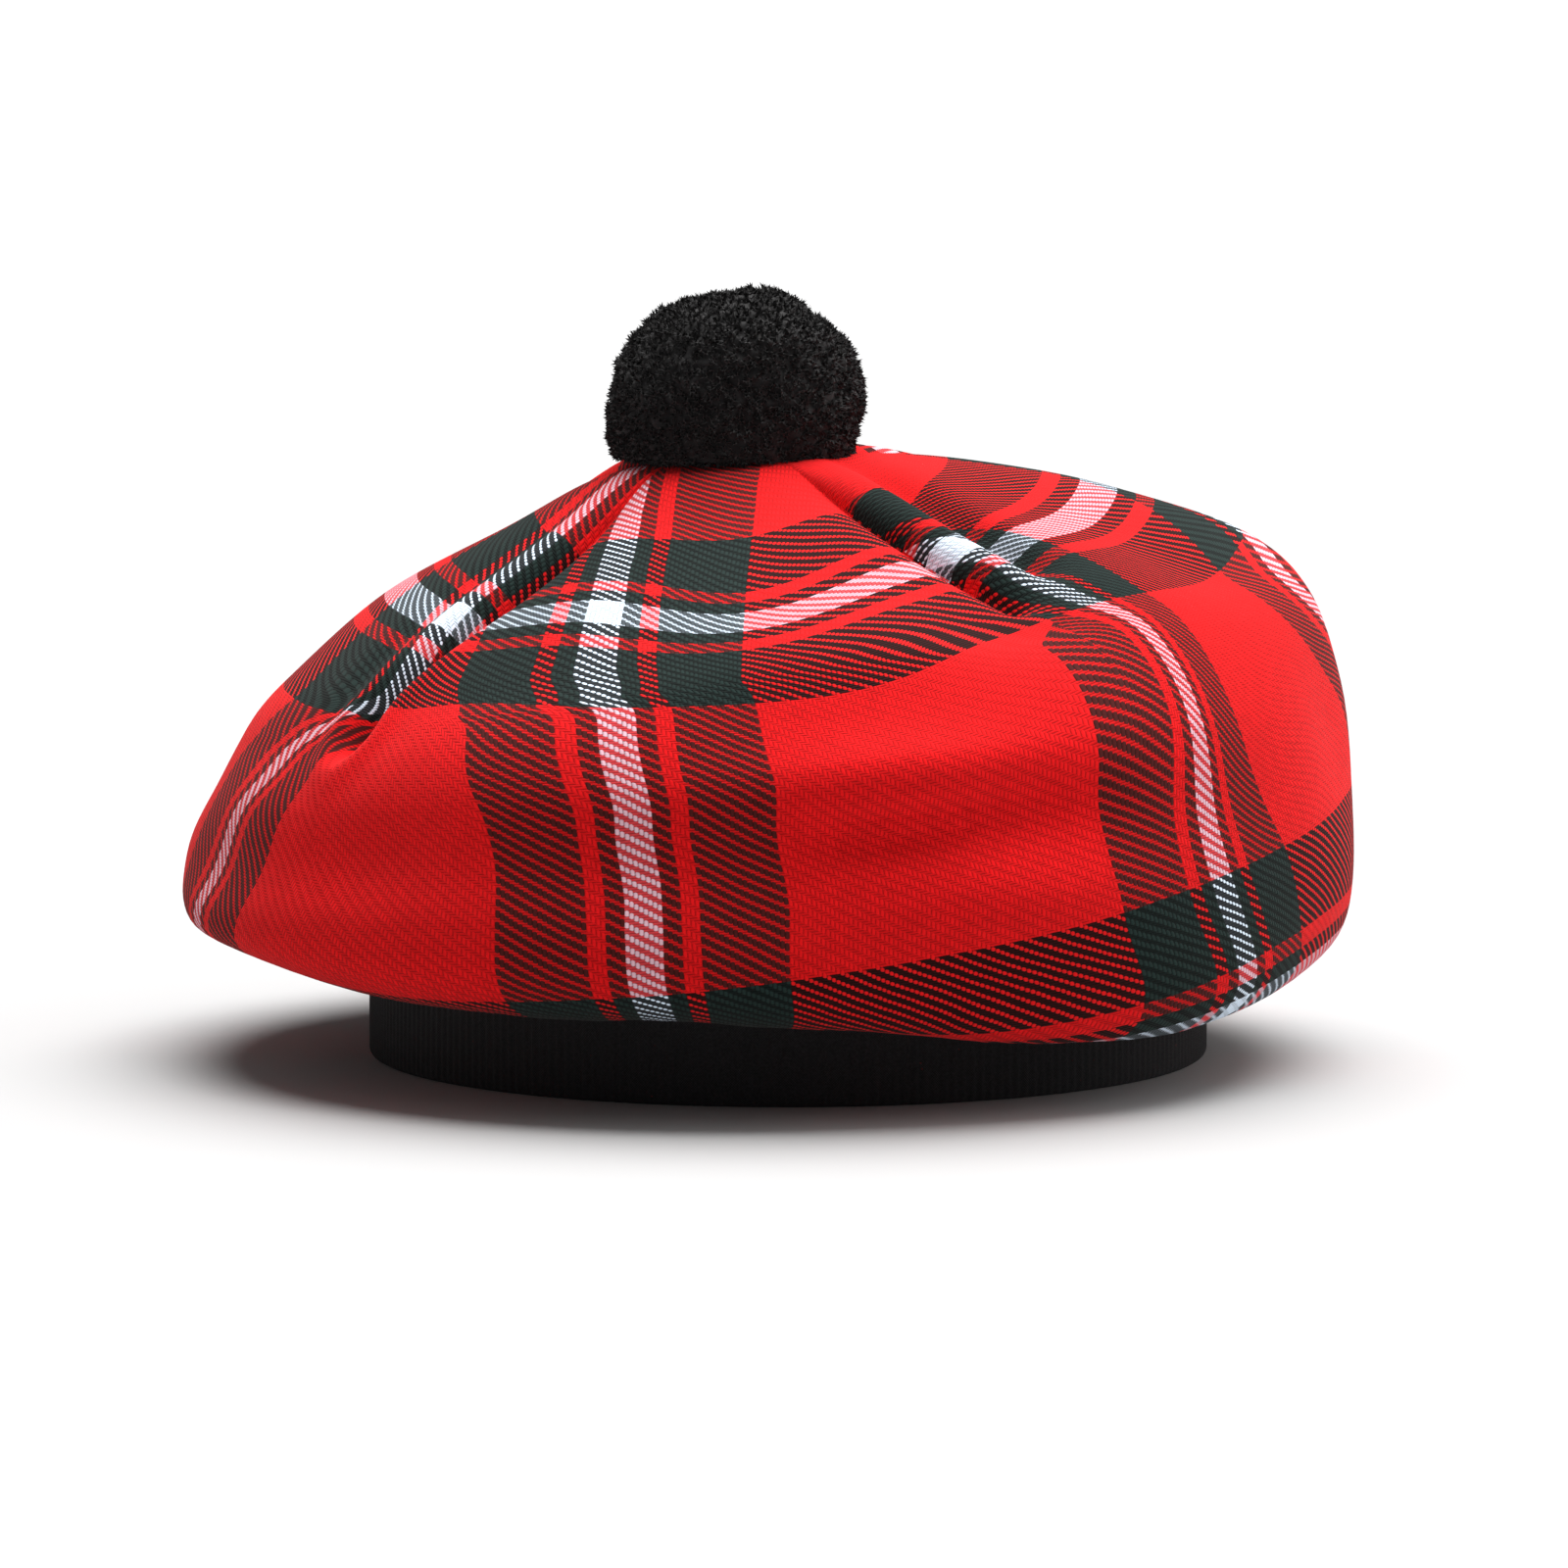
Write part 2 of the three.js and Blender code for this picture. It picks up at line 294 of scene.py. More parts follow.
    def lint(self, graph: Graph, shown: Value, under: Value) -> Socket:
        """Tell how much of the yarn below shows in the colour: a little fuzz everywhere, and most where white
        lies over red, which red lint and painted red bounce light turn pink.

        Args:
            graph: the graph to build in.
            shown: the yarn that shows.
            under: the yarn that it crosses.

        Returns:
            The share of the yarn below.
        """
        below = graph.channels(under)
        red = graph.smooth(graph.math("SUBTRACT", below[0], below[1]), 0.2, 0.5)
        # white over red turns pink: red lint and painted red bounce light
        white_on_red = graph.math("MULTIPLY", self.bright(graph, graph.channels(shown)[1]), red)
        return graph.math("MULTIPLY_ADD", white_on_red, self.red_lint_and_bounce, self.fuzz)

    def sunken_shade(self, graph: Graph, shown: Value, under: Value) -> Socket:
        """Darken a dark yarn where it sinks between brighter ones.

        Args:
            graph: the graph to build in.
            shown: the yarn that shows.
            under: the yarn that it crosses.

        Returns:
            What its brightness is multiplied by.
        """
        own, other = (graph.channels(yarn)[0] for yarn in (shown, under))
        brighter = graph.math("MAXIMUM", graph.math("SUBTRACT", other, own), 0.0)
        return graph.math("MULTIPLY_ADD", brighter, -self.sunk, 1.0)

    def fullness(self, graph: Graph, yarn: Value) -> Socket:
        """Tell how full a yarn is: the dark one swells over its neighbours, the white one is thin.

        Args:
            graph: the graph to build in.
            yarn: the yarn's colour.

        Returns:
            How far each end of its floats grows, as a share of the weave's repeat.
        """
        red, green = graph.channels(yarn)[:2]
        dark = self.bright(graph, red, self.dark_fullness, 0.0)
        return graph.math("SUBTRACT", dark, self.bright(graph, green, 0.0, self.white_thinness))

    def warp_over(self, graph: Graph, warp_number: Value, along: Value, side: Value, hairs: Value,
                  fuller: Value) -> Socket:
        """Tell where a warp thread lies over the weft: two picks over, two under, a pick later on each.

        Args:
            graph: the graph to build in.
            warp_number: the warp thread's number.
            along: the place along it, in picks.
            side: the place across it, from -0.5 to 0.5.
            hairs: fine noise that frays the edges.
            fuller: how much further the warp's floats reach than the weft's.

        Returns:
            1 where the warp shows and 0 where the weft does.
        """
        turn = graph.math("MULTIPLY", graph.math("SUBTRACT", warp_number, along), 0.25)
        turn = graph.math("MULTIPLY_ADD", side, self.float_slant, turn)
        from_middle = graph.math("PINGPONG", graph.math("ADD", turn, 0.25), 0.5)
        taper = graph.math("MULTIPLY", graph.math("MULTIPLY", side, side), self.float_taper)
        from_middle = graph.math("ADD", from_middle, taper)
        from_middle = graph.math("MULTIPLY_ADD", hairs, self.float_fray, from_middle)
        from_middle = graph.math("SUBTRACT", from_middle, fuller)
        return graph.smooth(from_middle, *self.float_edge, 1.0, 0.0)

    def height(self, graph: Graph, over: Value, warp_side: Value, weft_side: Value) -> Socket:
        """Give the height of the round yarn that shows.

        Args:
            graph: the graph to build in.
            over: 1 where the warp shows and 0 where the weft does.
            warp_side: the place across the warp thread, from -0.5 to 0.5.
            weft_side: the place across the weft thread.

        Returns:
            1 along the middle of the yarn that shows, 0 at its edges.
        """
        warp, weft = (graph.math("MULTIPLY_ADD", graph.math("MULTIPLY", side, side), -4.0, 1.0)
                      for side in (warp_side, weft_side))
        weft = graph.math("MULTIPLY", graph.math("SUBTRACT", 1.0, over), weft)
        return graph.math("MULTIPLY_ADD", over, warp, weft)

    def thread_shading(self, graph: Graph, colour: Value, over: Value, height: Value) -> Socket:
        """Shade the threads, with weft rows darker than warp rows, most so where the cloth is dark.

        Args:
            graph: the graph to build in.
            colour: the colour that shows.
            over: 1 where the warp shows and 0 where the weft does.
            height: the height of the yarn that shows.

        Returns:
            What the colour's brightness is multiplied by.
        """
        contrast = graph.smooth(graph.channels(colour)[0], 0.05, 0.30, self.dark_rows, self.bright_rows)
        rows = graph.math("MULTIPLY_ADD", graph.math("SUBTRACT", over, 0.5), contrast, 1.0)
        return graph.math("MULTIPLY", graph.smooth(height, 0.0, 0.9, *self.thread_shade), rows)


@dataclass(frozen=True)
class RibbedBand:
    """Dull black knitted band with loops of the given size in mm and a little red lint."""

    colour: tuple[float, float, float] = (0.020, 0.019, 0.020)
    lint: tuple[float, float, float] = (0.20, 0.012, 0.012)
    loop: float = 0.55
    relief: float = 0.25 * MM
    fuzz_scale: float = 1900.0
    speck_scale: float = 900.0

    def material(self) -> bpy.types.Material:
        """Make the band's material.

        Returns:
            The material.
        """
        material, graph = new_material("ribbed_band")
        place = graph.place()
        turn = 2 * math.pi / (self.loop * UV_SCALE)
        ribs, loops = (graph.math("SINE", graph.math("MULTIPLY", side, turn)) for side in graph.flat_cloth())
        height = graph.math("MULTIPLY_ADD", graph.math("MULTIPLY", loops, ribs), 0.3,
                            graph.noise(place, self.fuzz_scale, 3.0))
        specks = graph.smooth(graph.noise(place, self.speck_scale, 1.0), 0.80, 0.83)
        # Painted shade: the colour is darker where the knit lies low and lighter where it stands high, and
        # the fuzz noise in the height varies its tone at random.
        colour = graph.scaled(self.colour, graph.smooth(height, 0.2, 0.9, 0.7, 1.5))
        graph.surface({
            "Base Color": graph.mix(graph.math("MULTIPLY", specks, 0.5), colour, rgba(self.lint)),
            "Roughness": 0.9, "Specular IOR Level": 0.12, "Normal": graph.bump(0.6, self.relief, height),
            "Sheen Weight": 0.06, "Sheen Roughness": 0.6})
        return material


@dataclass(frozen=True)
class CutWool:
    """Black wool yarn, cut and brushed open."""

    colour: tuple[float, float, float] = (0.010, 0.0095, 0.0098)
    clump_scale: float = 320.0

    def material(self) -> bpy.types.Material:
        """Make the wool's material.

        Returns:
            The material.
        """
        material, graph = new_material("cut_wool")
        clumps = graph.smooth(graph.noise(graph.place(), self.clump_scale, 3.0), 0.3, 0.75, 0.65, 1.9)
        graph.surface({
            "Base Color": graph.scaled(self.colour, clumps), "Roughness": 0.8, "Specular IOR Level": 0.2,
            "Sheen Weight": 0.12, "Sheen Roughness": 0.5, "Sheen Tint": (1.0, 0.96, 0.94, 1.0)})
        return material


@dataclass(frozen=True)
class StudioPaper:
    """Plain pale paper under the hat."""

    colour: tuple[float, float, float] = (0.44, 0.44, 0.44)

    def material(self) -> bpy.types.Material:
        """Make the paper's material.

        Returns:
            The material.
        """
        material, graph = new_material("studio_paper")
        graph.surface({"Base Color": rgba(self.colour), "Roughness": 0.95, "Specular IOR Level": 0.1})
        return material


@dataclass(frozen=True)
class Section:
    """One ring of the crown, in mm: its middle on X and, each way, how far out and how high it is."""

    name: str
    middle: float
    left: tuple[float, float]
    front: tuple[float, float]
    right: tuple[float, float]
    back: tuple[float, float]


SECTIONS = (
    Section("centre", -11.8, left=(0, 134.2), front=(0, 134.2), right=(0, 134.2), back=(0, 134.2)),
    Section("pompom edge", -11.8, left=(24, 131.6), front=(24, 132.8), right=(26, 134.4), back=(24, 132)),
    Section("upper top", -11.8, left=(50, 117.8), front=(52, 122), right=(55, 131.8), back=(52, 122)),
    Section("middle top", -11.8, left=(79, 101.9), front=(80, 110), right=(84, 126), back=(80, 110.5)),
    Section("outer top", -11, left=(101.4, 82.5), front=(106, 99), right=(113, 116.1), back=(105, 99)),
    Section("shoulder", -8, left=(114.5, 69), front=(119, 90.5), right=(124, 103.5), back=(119, 86)),
    Section("upper side", -6, left=(123.5, 56.5), front=(130.5, 74.5), right=(129.5, 83), back=(128, 70)),
    Section("middle side", -5, left=(128.8, 45), front=(133, 59), right=(131, 60), back=(131.5, 55)),
    Section("lower side", -4.6, left=(130.2, 35.5), front=(136, 43), right=(130.4, 40), back=(132.5, 40.5)),
    Section("turn", -4, left=(126.5, 28.6), front=(134.5, 30), right=(125.5, 26), back=(129, 29)),
    Section("lowest", -2.5, left=(116, 26), front=(125, 21), right=(113, 17.8), back=(118, 23)),
    Section("underside", -0.8, left=(104, 24.6), front=(108, 21.2), right=(102.5, 19.4), back=(105, 22.4)),
    Section("seam", 0, left=(94.6, 25.2), front=(94.6, 25.2), right=(94.6, 25.2), back=(94.6, 25.2)),
    Section("cut edge", 0, left=(90.4, 25.3), front=(90.4, 25.3), right=(90.4, 25.3), back=(90.4, 25.3)),
)
LAST_SECTION = len(SECTIONS) - 1
WAYS = ("right", "back", "left", "front")
CROWN_CENTRE = np.array([SECTIONS[0].middle, 0.0, SECTIONS[0].front[1]])


class Side(Enum):
    """The side of a tuck that its rounded hem lies on, seen from above."""

    ANTICLOCKWISE = 1
    CLOCKWISE = -1


@dataclass(frozen=True)
class Tuck:
    """A tuck that draws the crown in: degrees from +X, and mm out from the section's middle.

    The cloth dives into a crease, comes up as a roll beside it, and dips again behind the roll. At its
    outer end the roll dives into a pocket with a lip round it. The sweep is how many degrees the crease
    turns from the centre to its end, opening is how far out it takes to grow to its full depth, and
    tip_reach is how far before the pocket the roll begins to dive.
    """

    name: str
    angle: float
    side: Side
    start: float
    end: float
    opening: float
    crease: float
    roll: float
    behind: float
    lip: float
    sweep: float = 0.0
    closing: float = 5.0
    crease_slope: float = 4.2
    roll_at: float = 6.5
    roll_width: float = 4.5
    behind_at: float = 14.5
    behind_width: float = 5.0
    behind_edge: float = 3.0
    tip_reach: float = 14.0
    lip_at: float = 7.0
    lip_width: float = 4.5

    def way(self, out: np.ndarray) -> np.ndarray:
        """Return the crease's angle in radians at each distance out."""
        return np.radians(self.angle - self.sweep * (1 - np.minimum(out / self.end, 1.0)))


TUCKS = (
    Tuck("front left", -139, Side.CLOCKWISE, start=22, end=118, opening=50,
         crease=11, roll=0.4, behind=1.5, lip=2.6, sweep=-10, closing=6),
    Tuck("front right", -52.5, Side.ANTICLOCKWISE, start=22, end=122, opening=42,
         crease=4.6, roll=2.2, behind=4.5, lip=0.6, sweep=14.7, closing=18),
    Tuck("back right", 47, Side.CLOCKWISE, start=10, end=112, opening=34,
         crease=7, roll=1.8, behind=4, lip=1.2),
    Tuck("back left", 136, Side.ANTICLOCKWISE, start=10, end=110, opening=34,
         crease=7, roll=1.8, behind=4, lip=1.2),
)


@dataclass(frozen=True)
class Dent:
    """A soft hollow or swell: its middle, its half-widths in degrees and sections, and its lift in mm."""

    name: str
    angle: float
    section: float
    spread: float
    reach: float
    lift: float


DENTS = (
    Dent("tucked under", -58, 4.1, 11, 1.2, -4.5),
    Dent("right top hollow", -25, 3.9, 13, 0.9, -4.5),
    Dent("front right bulge", -76, 6.2, 13, 0.5, 5.0),
    Dent("front valley left", -79, 6.8, 8, 0.35, -3.4),
    Dent("front valley right", -66, 6.65, 8, 0.35, -3.2),
    Dent("front right belly", -68, 7.6, 12, 0.5, 3.0),
    Dent("front right undercut", -70, 8.7, 13, 0.6, -1.6),
    Dent("front right swell", -52, 6.6, 11, 1.4, 2.6),
    Dent("front right droop", -50, 9.8, 22, 1.3, 3.0),
    Dent("front left swell", -118, 5.7, 16, 1.0, 1.8),
    Dent("front left flank", -131, 6.8, 13, 0.9, -3.6),
    Dent("front middle flank", -104, 7.0, 13, 0.6, -1.4),
    Dent("right hollow", -14, 6.2, 10, 0.9, -2.6),
    Dent("left hollow", -160, 6.8, 10, 1.2, -1.8),
    Dent("back hollow", 96, 6.3, 14, 1.1, -3.0),
    Dent("back left hollow", 158, 5.6, 9, 1.0, -2.0),
)


@dataclass(frozen=True)
class Drift:
    """Where the cloth has slipped on the form: middle, half-widths in degrees and sections, and mm of slip.

    A slip that stops at a tuck names its quarter, counted from the front one.
    """

    name: str
    angle: float
    section: float
    spread: float
    reach: float
    across: float = 0.0
    along: float = 0.0
    quarter: int | None = None


DRIFTS = (
    Drift("left shoulder", -148, 4.2, 26, 1.5, across=-15, quarter=3),
    Drift("left shoulder folded under", -143, 4.0, 9, 0.7, across=-13, quarter=3),
    Drift("left shoulder edge", -152, 5.3, 8, 0.5, across=-6, quarter=3),
    Drift("left foot", -160, 9.0, 32, 1.6, across=16),
    Drift("front left shoulder", -121, 4.8, 14, 1.5, across=11, quarter=0),
    Drift("front foot", -100, 8.8, 25, 2.0, across=-5),
    Drift("right top at the tuck", -52, 2.6, 16, 1.4, across=-20, quarter=1),
    Drift("right shoulder bunched", -15, 4.7, 25, 1.2, across=55),
    Drift("right flank bunched", -34, 6.0, 8, 1.1, across=16),
    Drift("right tuck held", -49, 5.0, 9, 1.2, across=-14),
    Drift("right foot", -38, 9.4, 26, 1.6, across=-18),
    Drift("front left top", -114, 3.05, 14, 1.1, along=5),
    Drift("front middle top", -88, 3.5, 13, 1.2, along=-7),
    Drift("front right top", -60, 3.0, 15, 1.5, along=5.5),
    Drift("left tuck end", -123, 4.5, 16, 0.8, along=5),
    Drift("front right dip", -78, 5.5, 14, 1.6, along=-4),
    Drift("right tuck end", -54, 4.5, 14, 1.6, along=5),
)


def smoothstep(value: np.ndarray, low: float, high: float) -> np.ndarray:
    """Return a smooth rise from 0 to 1 while the value goes from low to high."""
    part = np.clip((value - low) / (high - low), 0.0, 1.0)
    return part * part * (3 - 2 * part)


def bump(distance: np.ndarray) -> np.ndarray:
    """Return a soft hill of height 1 at distance 0."""
    return np.exp(-distance * distance)


def turn_between(first: np.ndarray, second: float) -> np.ndarray:
    """Return the turn from the second angle to the first, from -pi to pi."""
    return np.arctan2(np.sin(first - second), np.cos(first - second))


def share_near(patch: Dent | Drift, angle: np.ndarray, section: np.ndarray) -> np.ndarray:
    """Return how much of a patch's effect is left at each point, 1 at its middle."""
    turn = turn_between(angle, math.radians(patch.angle)) / math.radians(patch.spread)
    return bump(turn) * bump((section - patch.section) / patch.reach)


@dataclass(frozen=True)
class CrownForm:
    """The crown's outer face as a function of the angle round it and the section down it, in mm."""

    gathers: int = 16
    gather_height: float = 1.1
    fine_gathers: int = 47
    fine_gather_height: float = 0.7
    gather_section: float = 11.0
    gather_tightness: float = 1.5
    fine_gather_section: float = 11.4
    fine_gather_tightness: float = 1.3
    waves: int = 5
    wave_height: float = 0.9
    lowest_section: float = 10.0
    unevenness: float = 0.22

    def around(self, angle: np.ndarray, ring: np.ndarray) -> np.ndarray:
        """Run the smoothest curve round the crown.

        Args:
            angle: the angles.
            ring: the values at the right, back, left and front, first axis.

        Returns:
            The values at the angles.
        """
        right, back, left, front = ring
        mean = (right + back + left + front) / 4
        sideways = (right - left) / 2 * np.cos(angle)
        lengthways = (back - front) / 2 * np.sin(angle)
        return mean + sideways + lengthways + (right + left - back - front) / 4 * np.cos(2 * angle)

    def between(self, section: np.ndarray, rows: np.ndarray) -> np.ndarray:
        """Run a smooth curve through one value of each section.

        Args:
            section: section numbers, which may fall between two.
            rows: the value at each section.

        Returns:
            The values at the section numbers.
        """
        row = np.minimum(np.floor(section).astype(int), LAST_SECTION - 1)
        part = section - row
        before, start, end, after = (rows[np.clip(row + k, 0, LAST_SECTION)] for k in (-1, 0, 1, 2))
        slope_start = (end - before) / 2
        slope_end = (after - start) / 2
        cubic = slope_start + slope_end - 2 * (end - start)
        square = end - start - slope_start - cubic
        return start + part * (slope_start + part * (square + part * cubic))

    def ring(self, section: np.ndarray, index: int) -> np.ndarray:
        """Return the reach (index 0) or height (1) at the right, back, left and front of each section."""
        columns = np.array([[getattr(row, way)[index] for row in SECTIONS] for way in WAYS], float)
        return np.array([self.between(section, column) for column in columns])

    def plain(self, angle: np.ndarray, section: np.ndarray) -> tuple[np.ndarray, np.ndarray]:
        """Give the crown before its folds and dents.

        Args:
            angle: angles in radians.
            section: section numbers.

        Returns:
            The points, and how far out from the section's middle they are.
        """
        middle = self.between(section, np.array([row.middle for row in SECTIONS]))
        out = np.maximum(self.around(angle, self.ring(section, 0)), 0.0)
        up = self.around(angle, self.ring(section, 1))
        return np.stack([middle + out * np.cos(angle), out * np.sin(angle), up], axis=-1), out

    def outward(self, angle: np.ndarray, section: np.ndarray) -> np.ndarray:
        """Give the crown's outward direction before its folds.

        Args:
            angle: angles in radians.
            section: section numbers.

        Returns:
            Unit vectors.
        """
        step = 0.02
        low = np.maximum(section - step, 0.1)
        high = np.minimum(section + step, LAST_SECTION)
        middle = (low + high) / 2
        along = self.plain(angle, high)[0] - self.plain(angle, low)[0]
        across = self.plain(angle + step, middle)[0] - self.plain(angle - step, middle)[0]
        normal = np.cross(along, across)
        return normal / np.linalg.norm(normal, axis=-1, keepdims=True)

    def tuck_lift(self, tuck: Tuck, angle: np.ndarray, section: np.ndarray, out: np.ndarray) -> np.ndarray:
        """Fold the cloth at a tuck.

        Args:
            tuck: the tuck.
            angle: angles in radians.
            section: section numbers.
            out: how far out the points are.

        Returns:
            How far each point is lifted, in mm.
        """
        turn = turn_between(angle, tuck.way(out))
        near = (np.abs(turn) < math.pi / 2) & (section < len(SECTIONS) / 2)
        across = out * np.sin(turn) * tuck.side.value
        past = across - tuck.roll_at
        tip = tuck.end - tuck.closing
        from_tip = np.hypot(across, np.maximum(out - tip, 0.0))
        depth = tuck.crease * smoothstep(out, tuck.start, tuck.start + tuck.opening)
        shown = smoothstep(out, tuck.start, tuck.start + 0.6 * tuck.opening)
        rise = np.sqrt(np.clip(1 - (past / tuck.roll_at) ** 2, 0.0, 1.0))
        fall = (1 - bump(past / tuck.behind_edge)) * bump((across - tuck.behind_at) / tuck.behind_width)
        beside = (depth + tuck.roll * shown) * rise - depth
        behind = shown * (tuck.roll * bump(past / tuck.roll_width) - tuck.behind * fall)
        rolled = (across > 0) * (1 - smoothstep(out, tip - tuck.tip_reach, tip + 2))
        pit = -depth * np.exp(-from_tip / tuck.crease_slope)
        rim = bump((from_tip - tuck.lip_at) / tuck.lip_width) * smoothstep(out, tip - 40, tip - 5)
        rim = tuck.lip * rim * (1 - rolled)
        return np.where(near, np.where(past > 0, behind, beside) * rolled + pit * (1 - rolled) + rim, 0.0)

    def relief(self, angle: np.ndarray, section: np.ndarray) -> np.ndarray:
        """Give how far dents, gathers and waves stand out of the plain form.

        Args:
            angle: angles in radians.
            section: section numbers.

        Returns:
            The lift in mm.
        """
        lift = sum(dent.lift * share_near(dent, angle, section) for dent in DENTS)
        lift += self.wave_height * np.sin(self.waves * angle) * bump(section - self.lowest_section)
        near_seam = (section - self.gather_section) * self.gather_tightness
        lift += self.gather_height * np.cos(self.gathers * angle) * bump(near_seam)
        fine = np.cos(self.fine_gathers * angle + 1.3 * np.sin(3 * angle))
        near_seam = (section - self.fine_gather_section) * self.fine_gather_tightness
        lift += self.fine_gather_height * fine * bump(near_seam)
        slow = np.sin(3.1 * section + 4 * angle) + np.sin(2.3 * section - 7 * angle + 1)
        return lift + self.unevenness * slow * smoothstep(section, 1, 3) * (1 - smoothstep(section, 10, 12))

    def points(self, angle: np.ndarray, section: np.ndarray, inset: float = 0.0) -> np.ndarray:
        """Give the crown's face with all its folds.

        Args:
            angle: angles in radians.
            section: section numbers.
            inset: how far inside the outer face it lies, in mm.

        Returns:
            The points in mm, from the middle of the headband's foot.
        """
        place, out = self.plain(angle, section)
        folds = sum(self.tuck_lift(tuck, angle, section, out) for tuck in TUCKS)
        lift = self.relief(angle, section) + folds - inset
        return place + self.outward(angle, section) * lift[..., None]


class Patchwork:
    """Gathers the points and faces of a cloth mesh, with a flat cloth coordinate at each corner."""

    def __init__(self) -> None:
        """Start with nothing."""
        self.blocks: list[np.ndarray] = []
        self.faces: list[tuple] = []
        self.corners: list = []

    def add_points(self, points: np.ndarray) -> np.ndarray:
        """Add a block of points.

        Args:
            points: the points in mm.

        Returns:
            The points' numbers, in the block's own shape.
        """
        first = sum(len(block) for block in self.blocks)
        self.blocks.append(points.reshape(-1, 3))
        return first + np.arange(len(self.blocks[-1])).reshape(points.shape[:-1])

    def add_face(self, numbers: tuple, flat: tuple) -> None:
        """Add a face by its points' numbers, with the flat coordinate of each."""
        self.faces.append(tuple(int(number) for number in numbers))
        self.corners.extend(flat)

    def add_grid(self, numbers: np.ndarray, flat: np.ndarray, outward: bool) -> None:
        """Fill a grid of points with faces.

        Args:
            numbers: the points' numbers, a row and a column each.
            flat: their flat coordinates.
            outward: whether the faces look to the side from which rows run down and columns to the right.
        """
        turn = slice(None) if outward else slice(None, None, -1)
        for row in range(numbers.shape[0] - 1):
            for column in range(numbers.shape[1] - 1):
                ring = [(row, column), (row + 1, column), (row + 1, column + 1), (row, column + 1)][turn]
                self.add_face(tuple(numbers[place] for place in ring), tuple(flat[place] for place in ring))

    def mesh(self, name: str, origin: Vector) -> bpy.types.Mesh:
        """Make a smooth mesh of it all.

        Args:
            name: the mesh's name.
            origin: the middle of the headband's foot, in metres.

        Returns:
            The mesh, with its flat cloth coordinates as a UV map.
        """
        vertices = np.concatenate(self.blocks) * MM + np.array(origin)
        mesh = bpy.data.meshes.new(name)
        mesh.from_pydata(vertices.tolist(), [], self.faces)
        flat = np.array(self.corners, np.float64) * UV_SCALE
        mesh.uv_layers.new(name="cloth").data.foreach_set("uv", flat.astype(np.float32).ravel())
        mesh.polygons.foreach_set("use_smooth", [True] * len(mesh.polygons))
        mesh.update()
        return mesh


def new_piece(name: str, mesh: bpy.types.Mesh, material: bpy.types.Material) -> bpy.types.Object:
    """Put a mesh in the scene.

    Args:
        name: the object's name.
        mesh: its mesh.
        material: its finish.

    Returns:
        The object.
    """
    mesh.materials.clear()
    mesh.materials.append(material)
    piece = bpy.data.objects.new(name, mesh)
    bpy.context.scene.collection.objects.link(piece)
    return piece


